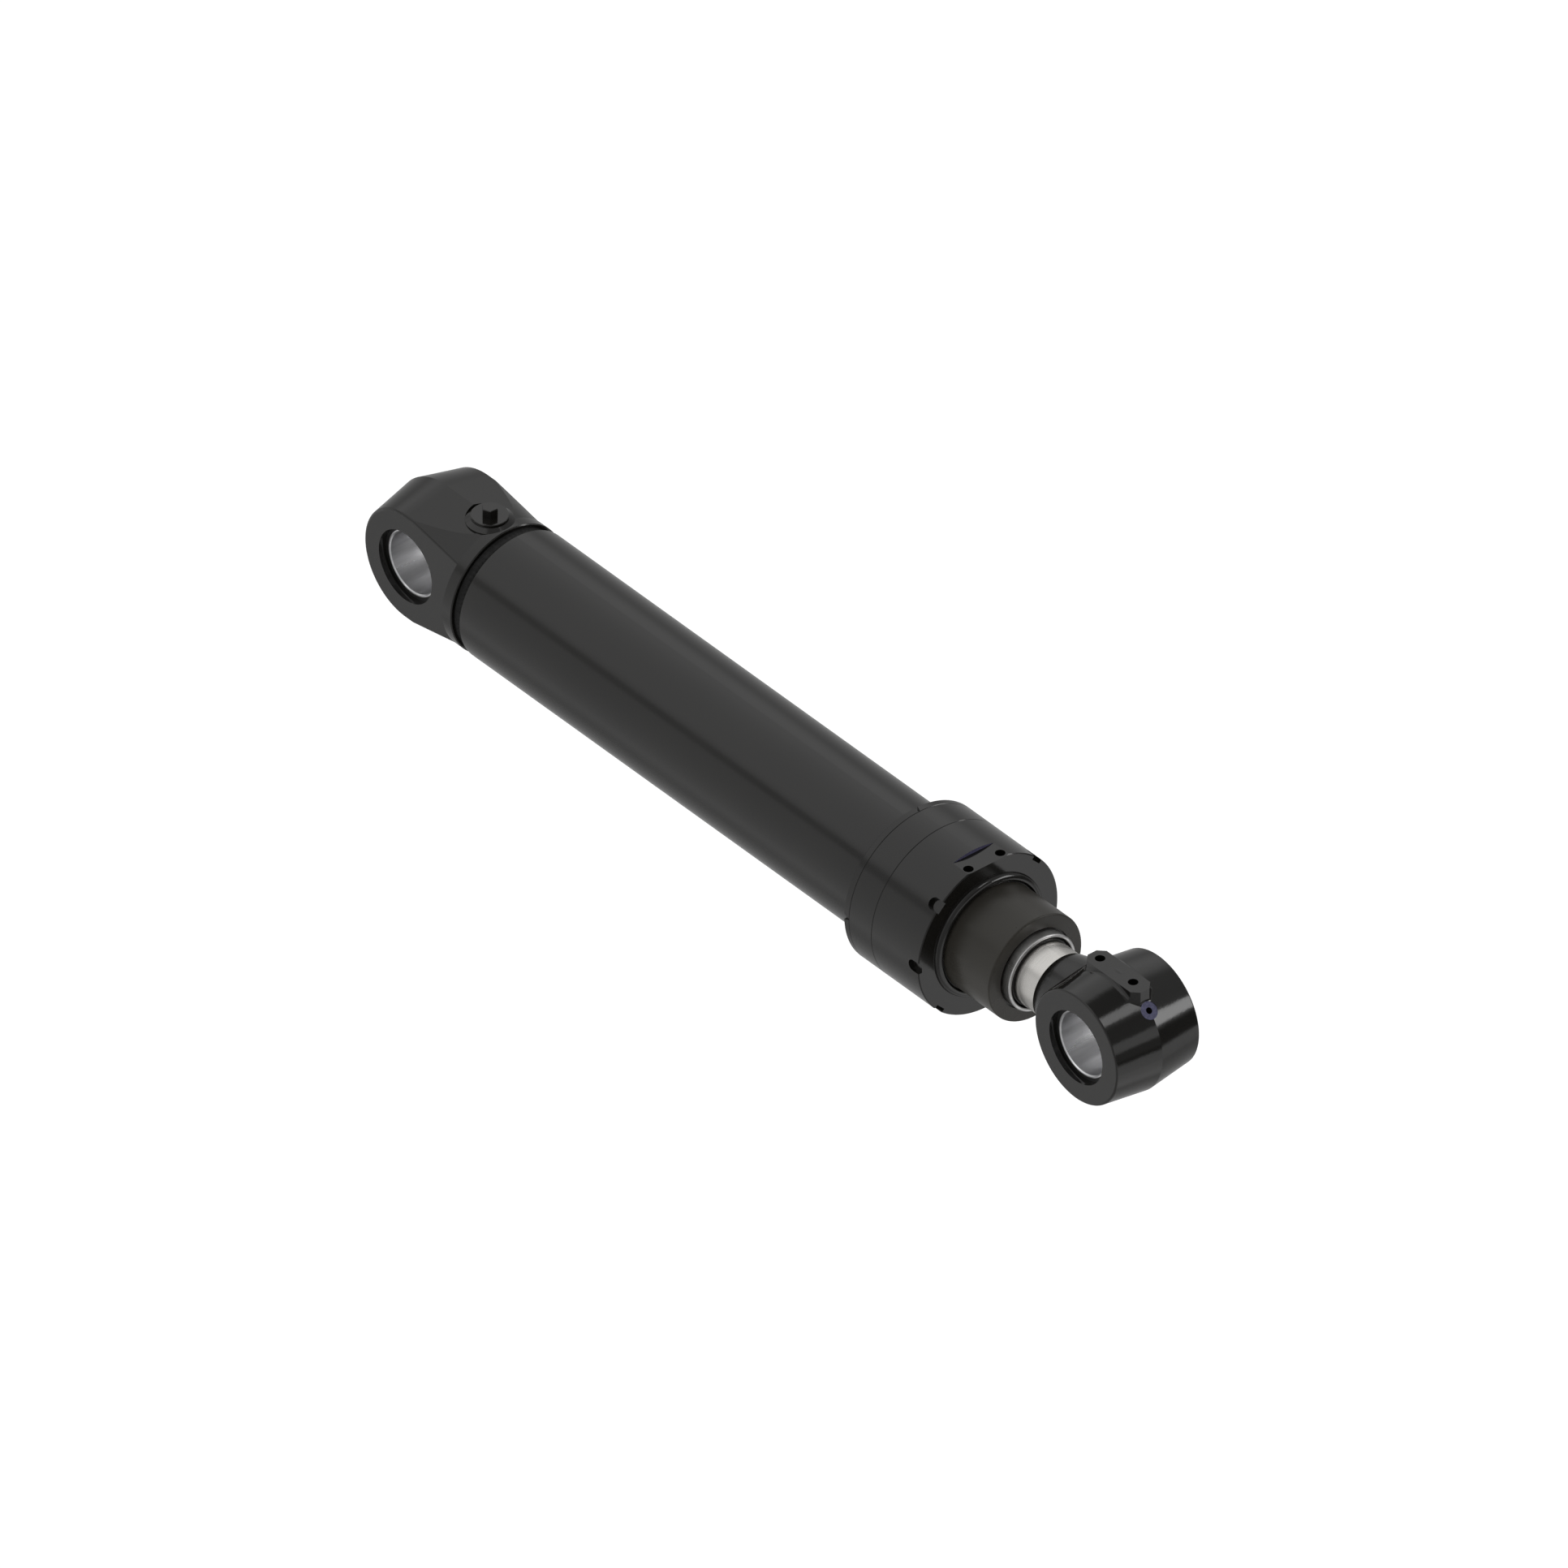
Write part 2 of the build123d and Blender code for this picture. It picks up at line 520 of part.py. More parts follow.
with BuildPart() as stage_retaining_ring:
    ring(RETAINING_RING[0], RETAINING_RING[1], RETAINING_RING_IN_R, RETAINING_RING[2])
    # The gap that lets the ring close to go in, with an eye each side for the pliers
    with BuildSketch(Plane.YZ.offset(RETAINING_RING[0])) as ring_gap:
        with Locations((0, -46)):
            Rectangle(12, 12)
        with Locations((-9.5, -44.4), (9.5, -44.4)):
            Circle(1.2)
    extrude(ring_gap.sketch, amount=RETAINING_RING[1] - RETAINING_RING[0], mode=Mode.SUBTRACT)
save(stage_retaining_ring.part, "stage_retaining_ring")

STAGE_PISTON_R = BARREL_BORE_R - 0.4

with BuildPart() as stage_piston_ring:
    ring(STAGE_BACK_X, STAGE_PISTON_X, STAGE_THREAD_R, STAGE_PISTON_R)
    for groove_back, groove_front, groove_r in (STAGE_SEAL,) + STAGE_BANDS:
        ring(groove_back, groove_front, groove_r, BARREL_BORE_R, mode=Mode.SUBTRACT)
save(stage_piston_ring.part, "stage_piston_ring")

with BuildPart() as stage_piston_seal:
    piston_seal(STAGE_SEAL, BARREL_BORE_R)
save(stage_piston_seal.part, "stage_piston_seal")

with BuildPart() as stage_wear_bands:
    for back, front, floor_r in STAGE_BANDS:
        ring(back + FIT, front - FIT, floor_r + FIT, BARREL_BORE_R - FIT)
save(stage_wear_bands.part, "stage_wear_bands")

ROD_LAND_R = ROD_R + LAND

with BuildPart() as stage_head:
    turn(
        (HEAD_SPIGOT_X, ROD_LAND_R), (HEAD_GUIDE[0], ROD_LAND_R), (HEAD_GUIDE[0], HEAD_GUIDE[2]),
        (HEAD_GUIDE[1], HEAD_GUIDE[2]), (HEAD_GUIDE[1], ROD_LAND_R), (HEAD_SEAL[0], ROD_LAND_R),
        (HEAD_SEAL[0], HEAD_SEAL[2]), (HEAD_SEAL[1], HEAD_SEAL[2]), (HEAD_SEAL[1], ROD_LAND_R),
        (LIP_RING_BACK_X, ROD_LAND_R), (LIP_RING_BACK_X, LIP_RING_R), (LIP_RING_GAP_X, LIP_RING_R),
        (LIP_RING_GAP_X, LIP_RING_GAP_R), (HEAD_FACE_X, LIP_RING_GAP_R), (HEAD_FACE_X, STAGE_R),
        (HEAD_X, STAGE_R), (HEAD_X, STAGE_BORE_R), (HEAD_O_RING[1], STAGE_BORE_R),
        (HEAD_O_RING[1], HEAD_O_RING[2]), (HEAD_O_RING[0], HEAD_O_RING[2]), (HEAD_O_RING[0], STAGE_BORE_R),
        (HEAD_SPIGOT_X, STAGE_BORE_R),
    )
    front_edge = stage_head.edges().filter_by(GeomType.CIRCLE).sort_by(Axis.X)
    fillet([e for e in front_edge if abs(e.radius - STAGE_R) < 0.01][-1], 1.6)
save(stage_head.part, "stage_head")

with BuildPart() as head_o_ring:
    section_r = (STAGE_BORE_R - HEAD_O_RING[2]) / 2
    with BuildSketch(Plane.XZ) as head_o_ring_section:
        with Locations(((HEAD_O_RING[0] + HEAD_O_RING[1]) / 2, STAGE_BORE_R - section_r)):
            Circle(section_r)
    revolve(head_o_ring_section.sketch, axis=Axis.X)
save(head_o_ring.part, "head_o_ring")

with BuildPart() as head_guide_band:
    ring(HEAD_GUIDE[0], HEAD_GUIDE[1], ROD_R + FIT, HEAD_GUIDE[2])
save(head_guide_band.part, "head_guide_band")

with BuildPart() as head_pressure_seal:
    lip_seal(HEAD_SEAL, ROD_R + FIT)
save(head_pressure_seal.part, "head_pressure_seal")

with BuildPart() as head_lip_ring:
    ring(LIP_RING_BACK_X, LIP_RING_X, LIP_RING_IN_R, LIP_RING_R)
    lip_edges = head_lip_ring.edges().filter_by(GeomType.CIRCLE).group_by(Axis.X)[-1]
    fillet(lip_edges, 1.4)
save(head_lip_ring.part, "head_lip_ring")

with BuildPart() as head_wiper_lip:
    turn(
        (LIP_RING_BACK_X, ROD_R + FIT), (LIP_RING_BACK_X, LIP_RING_IN_R), (LIP_RING_X - 5, LIP_RING_IN_R),
        (LIP_RING_X - 2.2, ROD_R + 0.8), (LIP_RING_X - 2.2, ROD_R + FIT),
    )
save(head_wiper_lip.part, "head_wiper_lip")

# ---------------------------------------------------------------- rod
ROD_SEAT_R = 26.0
ROD_THREAD_R = 20.0
NUT_BACK_X = 107.0

with BuildPart() as piston_rod:
    turn(
        (NUT_BACK_X - 3, 0), (NUT_BACK_X - 3, ROD_THREAD_R - 1.5), (NUT_BACK_X - 1.5, ROD_THREAD_R),
        (ROD_PISTON_BACK_X, ROD_THREAD_R), (ROD_PISTON_BACK_X, ROD_SEAT_R), (ROD_PISTON_X, ROD_SEAT_R),
        (ROD_PISTON_X, ROD_R - EDGE), (ROD_PISTON_X + EDGE, ROD_R), (SHANK_X, ROD_R),
        (SHANK_X, PILOT_R), (SHANK_X + PILOT_DEPTH, PILOT_R), (SHANK_X + PILOT_DEPTH, 0),
    )
save(piston_rod.part, "piston_rod")

with BuildPart() as rod_piston:
    ring(ROD_PISTON_BACK_X, ROD_PISTON_X, ROD_SEAT_R, STAGE_BORE_R - 0.4)
    for groove_back, groove_front, groove_r in (ROD_SEAL,) + ROD_BANDS:
        ring(groove_back, groove_front, groove_r, STAGE_BORE_R, mode=Mode.SUBTRACT)
save(rod_piston.part, "rod_piston")

with BuildPart() as rod_piston_seal:
    piston_seal(ROD_SEAL, STAGE_BORE_R)
save(rod_piston_seal.part, "rod_piston_seal")

with BuildPart() as rod_wear_bands:
    for back, front, floor_r in ROD_BANDS:
        ring(back + FIT, front - FIT, floor_r + FIT, STAGE_BORE_R - FIT)
save(rod_wear_bands.part, "rod_wear_bands")

with BuildPart() as rod_piston_nut:
    with BuildSketch(Plane.YZ.offset(NUT_BACK_X)) as nut_outline:
        RegularPolygon(30, 6, major_radius=False)
        Circle(ROD_THREAD_R, mode=Mode.SUBTRACT)
    extrude(nut_outline.sketch, amount=ROD_PISTON_BACK_X - NUT_BACK_X)
save(rod_piston_nut.part, "rod_piston_nut")

with BuildPart() as rod_eye:
    drafted_eye(ROD_EYE_X, ROD_EYE_R, 0, ROD_EYE_DRAFT)
    fillet(cheek_edges(rod_eye, ROD_EYE_X + ROD_EYE_R), ROD_CHEEK_EDGE_R)
    flare_r = SHANK_R + (SHANK_END_X - SHANK_X) * tan(radians(SHANK_FLARE))
    turn(
        (SHANK_X, 0), (SHANK_X, SHANK_R - EDGE), (SHANK_X + EDGE, SHANK_R),
        (SHANK_END_X, flare_r), (SHANK_END_X, 0),
    )
    # Bolting pad on top
    with BuildSketch(Plane.XY.offset(PAD_ROOT_Z)) as pad:
        with Locations((ROD_EYE_X + PAD_SHIFT, 0)):
            Rectangle(PAD_LENGTH, PAD_WIDTH)
        chamfer(pad.vertices(), PAD_CORNER)
    extrude(pad.sketch, amount=PAD_TOP_Z - PAD_ROOT_Z)
    # Its walls run into the eye with a rounded foot
    pad_outline = rod_eye.edges(Select.LAST).filter_by(GeomType.LINE, reverse=True)
    fillet([e for e in pad_outline if abs(e.center().Y) > 0.1], PAD_FOOT_R)
    cross_bore(ROD_EYE_X, BUSH_SEAT_R)
    with BuildSketch(Plane.XY.offset(PAD_TOP_Z)) as pad_taps:
        with Locations((ROD_EYE_X + PAD_TAP_SHIFT, 0)):
            with GridLocations(PAD_TAP_SPACING, 0, 2, 1):
                Circle(PAD_TAP_R)
    extrude(pad_taps.sketch, amount=-PAD_TAP_DEPTH, mode=Mode.SUBTRACT)
    grease_port(ROD_EYE_X, (1, 0, 1), ROD_EYE_R - GREASE_FACE_DEPTH)
    ring(SHANK_X, SHANK_X + PILOT_DEPTH, 0, PILOT_R, mode=Mode.SUBTRACT)
save(rod_eye.part, "rod_eye")

with BuildPart() as rod_eye_bush:
    eye_bush(ROD_EYE_X)
save(rod_eye_bush.part, "rod_eye_bush")

with BuildPart() as rod_eye_dust_seals:
    eye_seals(ROD_EYE_X)
save(rod_eye_dust_seals.part, "rod_eye_dust_seals")
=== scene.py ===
import json
import math

import bpy
from mathutils import Matrix, Vector


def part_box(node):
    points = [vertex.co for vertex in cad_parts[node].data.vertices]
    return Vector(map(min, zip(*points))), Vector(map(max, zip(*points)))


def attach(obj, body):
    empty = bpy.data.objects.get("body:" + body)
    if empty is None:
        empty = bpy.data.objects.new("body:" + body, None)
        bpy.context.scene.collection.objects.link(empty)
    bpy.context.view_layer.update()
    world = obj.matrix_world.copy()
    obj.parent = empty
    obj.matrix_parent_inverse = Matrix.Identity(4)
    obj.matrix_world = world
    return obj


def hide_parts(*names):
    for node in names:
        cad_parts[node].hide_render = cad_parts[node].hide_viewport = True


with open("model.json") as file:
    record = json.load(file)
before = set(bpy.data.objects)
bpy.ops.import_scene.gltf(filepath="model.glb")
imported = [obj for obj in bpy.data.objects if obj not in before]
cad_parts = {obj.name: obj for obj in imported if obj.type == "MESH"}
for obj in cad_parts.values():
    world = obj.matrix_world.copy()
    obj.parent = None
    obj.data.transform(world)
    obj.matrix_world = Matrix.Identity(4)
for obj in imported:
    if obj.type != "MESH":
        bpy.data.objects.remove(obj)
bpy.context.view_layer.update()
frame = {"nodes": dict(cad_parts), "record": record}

# ---------------------------------------------------------------- places, all from the frame
MM = 0.001
MOUNTS = {m["name"]: m for m in frame["record"]["mounts"]}


def mount_place(name):
    """A mount's point and direction in the part's own frame."""
    return Vector(MOUNTS[name]["pos_m"]), Vector(MOUNTS[name]["axis"]).normalized()


BASE_BORE, _ = mount_place("base_eye_bore")
ROD_BORE, _ = mount_place("rod_eye_bore")
PIN_TO_PIN = (ROD_BORE - BASE_BORE).length
FLAT_Z = MOUNTS["collar_flat_holes"]["pos_m"][2]
COLLAR_FACE_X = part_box("collar_gland")[1].x


# ---------------------------------------------------------------- camera
VIEW_AZIMUTH, VIEW_ELEVATION, VIEW_ROLL = 49.2, 37.1, 0.7     # degrees
VIEW_WIDTH = 1.5149 * PIN_TO_PIN
MIDDLE_RIGHT = 0.3258 * PIN_TO_PIN      # from the base eye's bore to the middle of the view
MIDDLE_DOWN = 0.2300 * PIN_TO_PIN
CAMERA_DISTANCE = 3.0
CAMERA_NEAR, CAMERA_FAR = 0.01, 50.0


def make_camera():
    """An orthographic view from above and in front of the rod end, with the object in the middle."""
    azimuth, elevation, roll = (math.radians(v) for v in (VIEW_AZIMUTH, VIEW_ELEVATION, VIEW_ROLL))
    across = Vector((math.cos(azimuth), math.sin(azimuth), 0))
    back = Vector((
        math.sin(azimuth) * math.cos(elevation),
        -math.cos(azimuth) * math.cos(elevation),
        math.sin(elevation),
    ))
    up = back.cross(across)
    right = across * math.cos(roll) + up * math.sin(roll)
    top = back.cross(right)
    data = bpy.data.cameras.new("photo_camera")
    data.type = "ORTHO"
    data.ortho_scale = VIEW_WIDTH
    data.clip_start = CAMERA_NEAR
    data.clip_end = CAMERA_FAR
    camera = bpy.data.objects.new("photo_camera", data)
    bpy.context.scene.collection.objects.link(camera)
    middle = BASE_BORE + right * MIDDLE_RIGHT - top * MIDDLE_DOWN
    turn = Matrix((right, top, back)).transposed()
    camera.matrix_world = Matrix.Translation(middle + back * CAMERA_DISTANCE) @ turn.to_4x4()
    bpy.context.scene.camera = camera


# ---------------------------------------------------------------- floor
FLOOR_HALF = 14 * PIN_TO_PIN
FLOOR_Z = -3.3 * PIN_TO_PIN             # far enough down for views from below
FLOOR_GREY = 0.85
FLOOR_ROUGHNESS = 0.9
FLOOR_GLOW = 0.45


def make_floor():
    """A pale floor far below the object; the mirror-like paint reflects the studio instead of it."""
    mesh = bpy.data.meshes.new("floor")
    signs = ((-1, -1), (1, -1), (1, 1), (-1, 1))
    mesh.from_pydata([(x * FLOOR_HALF, y * FLOOR_HALF, FLOOR_Z) for x, y in signs], [], [(0, 1, 2, 3)])
    floor = bpy.data.objects.new("floor", mesh)
    bpy.context.scene.collection.objects.link(floor)
    floor.visible_glossy = False
    material = bpy.data.materials.new("pale_floor")
    material.use_nodes = True
    shader = material.node_tree.nodes["Principled BSDF"]
    shader.inputs["Base Color"].default_value = (FLOOR_GREY, FLOOR_GREY, FLOOR_GREY, 1)
    shader.inputs["Roughness"].default_value = FLOOR_ROUGHNESS
    shader.inputs["Emission Color"].default_value = (1, 1, 1, 1)
    shader.inputs["Emission Strength"].default_value = FLOOR_GLOW
    mesh.materials.append(material)


# ---------------------------------------------------------------- shader graphs
class Graph:
    """Short calls that add and join shader nodes."""

    def __init__(self, tree):
        self.tree = tree

    def node(self, kind, **settings):
        made = self.tree.nodes.new(kind)
        for name, value in settings.items():
            setattr(made, name, value)
        return made

    def join(self, source, target):
        self.tree.links.new(source, target)

    def feed(self, value, target):
        """Give a socket a number or another socket's output."""
        if isinstance(value, (int, float)):
            target.default_value = value
        else:
            self.join(value, target)

    def math(self, operation, *values):
        made = self.node("ShaderNodeMath", operation=operation)
        for value, target in zip(values, made.inputs):
            self.feed(value, target)
        return made.outputs[0]

    def ramp(self, source, from_low, from_high, low=0.0, high=1.0, smooth=False):
        """A number carried from one range to another, and held at the range's ends."""
        made = self.node("ShaderNodeMapRange", interpolation_type="SMOOTHSTEP" if smooth else "LINEAR")
        self.join(source, made.inputs["Value"])
        limits = {"From Min": from_low, "From Max": from_high, "To Min": low, "To Max": high}
        for name, value in limits.items():
            made.inputs[name].default_value = value
        return made.outputs["Result"]

    def blend(self, amount, low, high):
        """Two numbers or outputs mixed by an amount from 0 to 1."""
        made = self.node("ShaderNodeMix")
        for value, target in zip((amount, low, high), (made.inputs[0], made.inputs[2], made.inputs[3])):
            self.feed(value, target)
        return made.outputs[0]


# ---------------------------------------------------------------- studio
# Each panel is a soft-edged patch of the surroundings, unseen by the camera. A later one covers an earlier:
# name, azimuth from +X towards +Y, elevation, half width, half height, soft edge (all degrees), brightness.
ROOM_LEVEL = 0.42
STUDIO_PANELS = (
    ("overhead_wash", 195, 62, 75, 27, 24, 0.97),
    ("left_wall", 230, -5, 40, 26, 16, 0.73),
    ("left_seam", 230, 24, 45, 2.0, 4, 0.50),
    ("front_floor", 12, -36, 32, 14, 16, 0.86),
    ("far_top", 95, 75, 50, 8, 8, 0.22),
    ("far_dark", 45, -7, 40, 9, 6, 0.10),
    ("front_gap", 12, 32, 22, 11, 5, 0.25),
    ("front_wall", 8, 10, 22, 6, 5, 1.0),
    ("front_low_dark", 8, -6, 22, 4, 5, 0.22),
    ("strip_light", 50, 17, 13, 6, 3.5, 4.6),
    ("top_light", 34, 57, 13, 5, 3.5, 2.8),
)


def make_world():
    """White to the camera, and soft panels in a grey room to every other ray."""
    world = bpy.data.worlds.new("studio")
    bpy.context.scene.world = world
    world.use_nodes = True
    graph = Graph(world.node_tree)
    background = world.node_tree.nodes["Background"]
    background.inputs["Color"].default_value = (1, 1, 1, 1)
    direction = graph.node("ShaderNodeSeparateXYZ")
    graph.join(graph.node("ShaderNodeTexCoord").outputs["Generated"], direction.inputs[0])
    along, across, up = direction.outputs
    azimuth = graph.math("MULTIPLY", graph.math("ARCTAN2", across, along), math.degrees(1))
    elevation = graph.math("MULTIPLY", graph.math("ARCSINE", up), math.degrees(1))
    level = ROOM_LEVEL
    for _, panel_azimuth, panel_elevation, half_width, half_height, soft, brightness in STUDIO_PANELS:
        # The angle to the panel's middle, the short way round
        turned = graph.math("SUBTRACT", azimuth, panel_azimuth)
        sideways = graph.math("ABSOLUTE", graph.math("WRAP", turned, 180, -180))
        upwards = graph.math("ABSOLUTE", graph.math("SUBTRACT", elevation, panel_elevation))
        within_width = graph.ramp(sideways, half_width + soft, half_width, smooth=True)
        within_height = graph.ramp(upwards, half_height + soft, half_height, smooth=True)
        level = graph.blend(graph.math("MULTIPLY", within_width, within_height), level, brightness)
    seen = graph.node("ShaderNodeLightPath").outputs["Is Camera Ray"]
    graph.join(graph.blend(seen, level, 1.0), background.inputs["Strength"])


make_camera()
make_floor()
make_world()
bpy.context.scene.view_settings.view_transform = "Standard"


# ---------------------------------------------------------------- materials
PAINT_COLOUR = (0.0052, 0.0048, 0.0040)
PAINT_UNEVENNESS = 1.35         # the paint's palest patches against its darkest
SPOT_FACE_R = 9.1 * MM
SPOT_FACE_SKIN = 0.2 * MM       # how far below its spot face a grease port still counts as bare
BARE_STEEL_COLOUR = (0.095, 0.095, 0.150)
CUT_WALL_COLOUR = (0.075, 0.070, 0.130)
CUT_WALL_ABOVE = 0.1 * MM       # the cut wall starts this far over the flat
CUT_WALL_BEHIND = 5 * MM        # and lies further than this behind the collar's face
FACING_FORWARD = 0.9            # the least +X share of a normal that faces forward
BARE_ROUGHNESS = 0.34
TOOL_RING_STRETCH = 70
STREAK_STRETCH = 0.12


class Shader(Graph):
    """A material under construction. Noise scales are in features per metre, heights in metres."""

    def __init__(self, name):
        self.material = bpy.data.materials.new(name)
        self.material.use_nodes = True
        super().__init__(self.material.node_tree)
        self.surface = self.tree.nodes["Principled BSDF"]
        self.place = self.node("ShaderNodeTexCoord").outputs["Object"]

    def noise(self, scale, detail=3.0, stretch=(1, 1, 1)):
        mapping = self.node("ShaderNodeMapping")
        mapping.inputs["Scale"].default_value = stretch
        self.join(self.place, mapping.inputs["Vector"])
        texture = self.node("ShaderNodeTexNoise")
        texture.inputs["Scale"].default_value = scale
        texture.inputs["Detail"].default_value = detail
        self.join(mapping.outputs["Vector"], texture.inputs["Vector"])
        return texture.outputs["Fac"]

    def vector(self, operation, *values):
        made = self.node("ShaderNodeVectorMath", operation=operation)
        for value, target in zip(values, made.inputs):
            if isinstance(value, Vector):
                target.default_value = value
            else:
                self.join(value, target)
        return made.outputs["Value"] if operation in ("DOT_PRODUCT", "LENGTH") else made.outputs["Vector"]

    def tint(self, amount, low, high):
        """Two colours mixed by an amount from 0 to 1."""
        made = self.node("ShaderNodeMix", data_type="RGBA")
        self.feed(amount, made.inputs[0])
        for value, target in zip((low, high), (made.inputs[6], made.inputs[7])):
            if isinstance(value, tuple):
                target.default_value = value
            else:
                self.join(value, target)
        return made.outputs[2]

    def bump(self, pattern, height):
        """Raise the surface by a pattern, on top of what earlier calls raised."""
        made = self.node("ShaderNodeBump")
        made.inputs["Distance"].default_value = height
        self.join(pattern, made.inputs["Height"])
        normal = self.surface.inputs["Normal"]
        if normal.is_linked:
            self.join(normal.links[0].from_socket, made.inputs["Normal"])
        self.join(made.outputs["Normal"], normal)

    def set(self, **sockets):
        for name, value in sockets.items():
            self.surface.inputs[name.replace("_", " ")].default_value = value

    def colour(self, source):
        self.join(source, self.surface.inputs["Base Color"])

    def roughness(self, source):
        self.join(source, self.surface.inputs["Roughness"])


def port_face_mask(s, mount):
    """1 on the spot face round a grease port and 0 elsewhere."""
    place, axis = mount_place(mount)
    face = place + axis * MOUNTS[mount]["dims"]["length_mm"] * MM / 2
    offset = s.vector("SUBTRACT", s.place, face)
    sideways = s.vector("LENGTH", s.vector("CROSS_PRODUCT", offset, axis))
    outwards = s.vector("DOT_PRODUCT", offset, axis)
    inside = s.math("LESS_THAN", sideways, SPOT_FACE_R)
    return s.math("MULTIPLY", inside, s.math("GREATER_THAN", outwards, -SPOT_FACE_SKIN))


def flat_wall_mask(s):
    """1 on the cut wall behind the collar's milled flat and 0 elsewhere."""
    normal = s.node("ShaderNodeSeparateXYZ")
    s.join(s.node("ShaderNodeNewGeometry").outputs["Normal"], normal.inputs[0])
    place = s.node("ShaderNodeSeparateXYZ")
    s.join(s.place, place.inputs[0])
    facing = s.math("GREATER_THAN", normal.outputs[0], FACING_FORWARD)
    above = s.math("GREATER_THAN", place.outputs[2], FLAT_Z + CUT_WALL_ABOVE)
    behind = s.math("LESS_THAN", place.outputs[0], COLLAR_FACE_X - CUT_WALL_BEHIND)
    return s.math("MULTIPLY", facing, s.math("MULTIPLY", above, behind))


def black_paint(name, gloss=0.13, cast=0.0, body=1.0, specular=0.5,
                bare=None, bare_colour=BARE_STEEL_COLOUR, bare_metal=True):
    """Sprayed gloss black with faint orange peel and uneven gloss.

    gloss is its roughness, cast the height of a casting's grain below it, body how pale it is, and bare
    a function that masks where the metal shows.
    """
    s = Shader(name)
    s.set(IOR=1.5, Specular_IOR_Level=specular)
    dark, pale = (tuple(body * shade * v for v in PAINT_COLOUR) + (1,) for shade in (1.0, PAINT_UNEVENNESS))
    paint = s.tint(s.ramp(s.noise(7, 4), 0.35, 0.65), dark, pale)
    rough = s.ramp(s.noise(22, 5), 0.3, 0.7, gloss * 0.8, gloss * 1.25)
    if bare:
        mask = bare(s)
        brushed = s.ramp(s.noise(500, 3), 0.3, 0.7, 0.8, 1.2)
        steel = s.node("ShaderNodeVectorMath", operation="SCALE")
        steel.inputs[0].default_value = bare_colour
        s.join(brushed, steel.inputs["Scale"])
        paint = s.tint(mask, paint, steel.outputs["Vector"])
        rough = s.blend(mask, rough, BARE_ROUGHNESS)
        if bare_metal:
            s.join(mask, s.surface.inputs["Metallic"])
    s.colour(paint)
    s.roughness(rough)
    orange_peel = s.noise(330, 2)
    s.bump(orange_peel, 0.025 * MM)
    if cast:
        waves, grain = s.noise(70, 4), s.noise(620, 5)
        s.bump(waves, 6 * cast)
        s.bump(grain, cast)
    return s.material


def weld_paint(name):
    """The painted weld at the bottom of its groove, darkened and dulled to paint in the groove's shade,
    with random paler patches of dust.
    """
    s = Shader(name)
    s.set(Specular_IOR_Level=0.22)
    dust = s.ramp(s.noise(120, 4), 0.4, 0.7)
    # Painted shade: both colours are darker than the black paint beside the weld and stand in for the shade
    # in the groove. The noise adds random paler patches of dust.
    s.colour(s.tint(dust, (0.0016, 0.0016, 0.0015, 1), (0.005, 0.0048, 0.0044, 1)))
    s.roughness(s.ramp(s.noise(200, 3), 0.3, 0.7, 0.32, 0.5))
    spatter = s.noise(900, 4)
    s.bump(spatter, 0.12 * MM)
    return s.material


def hard_chrome(name):
    """Ground and polished chrome: very fine rings round the rod and faint cloudy handling marks."""
    s = Shader(name)
    s.set(Metallic=1.0)
    clouds = s.ramp(s.noise(18, 4), 0.35, 0.7)
    s.colour(s.tint(clouds, (0.64, 0.625, 0.60, 1), (0.58, 0.565, 0.54, 1)))
    rings = s.noise(30, 5, (60, 1, 1))
    s.roughness(s.ramp(rings, 0.3, 0.7, 0.265, 0.29))
    s.bump(rings, 0.0004 * MM)
    return s.material


def turned_steel(name, colour, roughness, ring_axis, clouds):
    """Machined steel: tool rings square to ring_axis, and cloudy streaks along it."""
    s = Shader(name)
    s.set(Metallic=1.0)
    rings = s.noise(35, 4, tuple(TOOL_RING_STRETCH if axis == ring_axis else 1 for axis in "XYZ"))
    streaks = s.noise(75, 4, tuple(STREAK_STRETCH if axis == ring_axis else 1 for axis in "XYZ"))
    dull = tuple(clouds * v for v in colour) + (1,)
    s.colour(s.tint(s.ramp(streaks, 0.38, 0.64), dull, (*colour, 1)))
    s.roughness(s.ramp(streaks, 0.3, 0.7, roughness * 1.25, roughness * 0.8))
    s.bump(rings, 0.008 * MM)
    return s.material


def rubber(name):
    """Moulded nitrile rubber with a soft bloom."""
    s = Shader(name)
    bloom = s.ramp(s.noise(45, 4), 0.35, 0.7)
    s.colour(s.tint(bloom, (0.0055, 0.0055, 0.0055, 1), (0.012, 0.012, 0.0115, 1)))
    s.roughness(s.ramp(s.noise(160, 3), 0.3, 0.7, 0.34, 0.5))
    mould_grain = s.noise(1500, 3)
    s.bump(mould_grain, 0.02 * MM)
    return s.material


def guide_resin(name):
    """Cloth-filled phenolic: a fine two-way weave under brown resin."""
    s = Shader(name)
    warp = s.noise(160, 2, (8, 1, 1))
    weft = s.noise(160, 2, (1, 8, 8))
    weave = s.math("MULTIPLY", warp, weft)
    s.colour(s.tint(s.ramp(weave, 0.14, 0.38), (0.16, 0.085, 0.04, 1), (0.36, 0.23, 0.12, 1)))
    s.roughness(s.ramp(weave, 0.1, 0.4, 0.5, 0.68))
    s.bump(weave, 0.03 * MM)
    return s.material


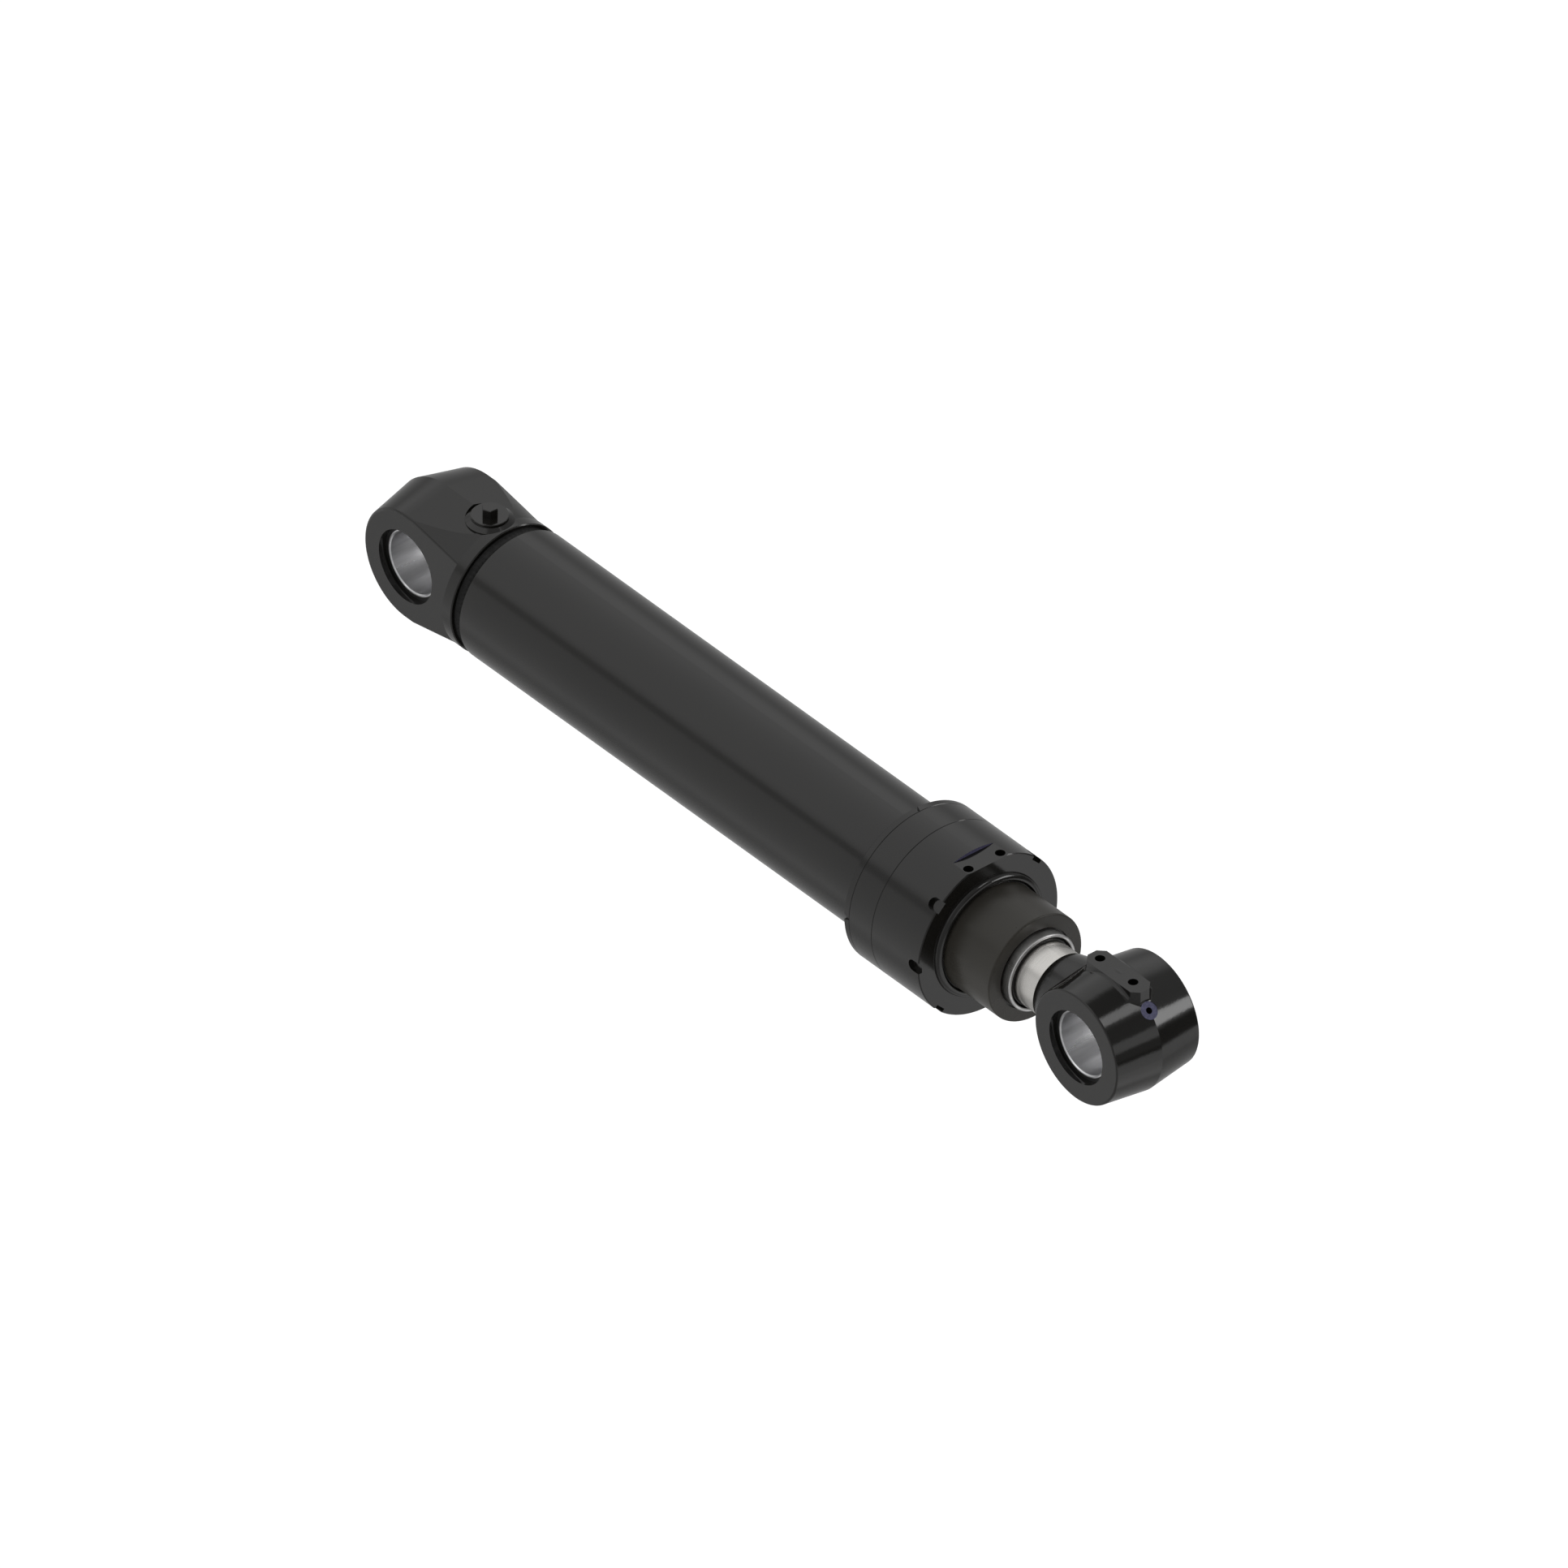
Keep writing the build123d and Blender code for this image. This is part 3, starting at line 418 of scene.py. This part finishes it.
FINISHES = {
    "black_paint": black_paint("gloss_black_paint"),
    "hard_chrome": hard_chrome("hard_chrome"),
    "bush_steel": turned_steel("bush_steel", (0.80, 0.80, 0.81), 0.33, "Y", 0.68),
    "machined_steel": turned_steel("machined_steel", (0.36, 0.36, 0.38), 0.30, "X", 0.75),
    "seal_rubber": rubber("seal_rubber"),
    "guide_resin": guide_resin("guide_resin"),
}
OWN_FINISHES = {
    "base_eye_casting": black_paint(
        "cast_base_paint", gloss=0.15, cast=0.012 * MM,
        bare=lambda s: port_face_mask(s, "base_eye_grease_port")),
    "rod_eye": black_paint(
        "cast_rod_eye_paint", gloss=0.10, cast=0.016 * MM,
        bare=lambda s: port_face_mask(s, "rod_eye_grease_port")),
    "collar_gland": black_paint(
        "collar_paint", bare=flat_wall_mask, bare_colour=CUT_WALL_COLOUR, bare_metal=False),
    "stage_head": black_paint("sleeve_paint", gloss=0.30, body=5.5, specular=0.3),
    "base_weld": weld_paint("weld_paint"),
    "head_lip_ring": turned_steel("lip_ring_steel", (0.62, 0.615, 0.61), 0.33, "X", 0.8),
}

for part in frame["record"]["subparts"]:
    piece = frame["nodes"][part["node"]]
    piece.data.materials.clear()
    piece.data.materials.append(OWN_FINISHES.get(part["node"], FINISHES[part["material_slot"]]))


# ---------------------------------------------------------------- weld bead
WELD_RIPPLES = 82
STEPS_PER_RIPPLE = 12
WELD_SAG = 2.0 * MM
WELD_THICKNESS = 4.6 * MM
RIPPLE_HEIGHT = 0.4 * MM
RIPPLE_BOW = 0.38           # how far a ripple's middle trails its ends, in ripples
ROOT_POINTS = 2
ACROSS_STEPS = 10


def weld_section(turns, back, front, edge_r, root_r):
    """One radial section of the bead as (x, radius) points, the ripple's height depending on the turn."""
    middle, half = (back + front) / 2, (front - back) / 2
    points = [(front, root_r), (back, root_r)]
    for step in range(ACROSS_STEPS + 1):
        across = 2 * step / ACROSS_STEPS - 1
        hollow = 1 - across * across
        phase = (turns * WELD_RIPPLES + RIPPLE_BOW * hollow) % 1.0
        ripple = RIPPLE_HEIGHT * hollow * (1 - (2 * phase - 1) ** 2)
        points.append((middle + across * half, edge_r - WELD_SAG * hollow + ripple))
    return points


def make_weld_bead():
    """The weld between base casting and barrel, a run of overlapping ripples laid round the groove."""
    low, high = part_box("base_weld")
    sections = WELD_RIPPLES * STEPS_PER_RIPPLE
    count = ROOT_POINTS + ACROSS_STEPS + 1
    vertices, faces = [], []
    for section in range(sections):
        turns = section / sections
        angle = 2 * math.pi * turns
        for x, radius in weld_section(turns, low.x, high.x, high.z, high.z - WELD_THICKNESS):
            vertices.append((x, radius * math.cos(angle), radius * math.sin(angle)))
    for section in range(sections):
        here, there = section * count, (section + 1) % sections * count
        for point in range(count):
            following = (point + 1) % count
            faces.append((here + point, there + point, there + following, here + following))
    mesh = bpy.data.meshes.new("weld_bead")
    mesh.from_pydata(vertices, [], faces)
    mesh.update()
    for face in mesh.polygons:
        # Smooth on the rippled top alone, not on the root and the two side walls
        face.use_smooth = ROOT_POINTS <= face.index % count < count - 1
    mesh.materials.append(OWN_FINISHES["base_weld"])
    bead = bpy.data.objects.new("weld_bead", mesh)
    bpy.context.scene.collection.objects.link(bead)
    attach(bead, "barrel")
    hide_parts("base_weld")


make_weld_bead()
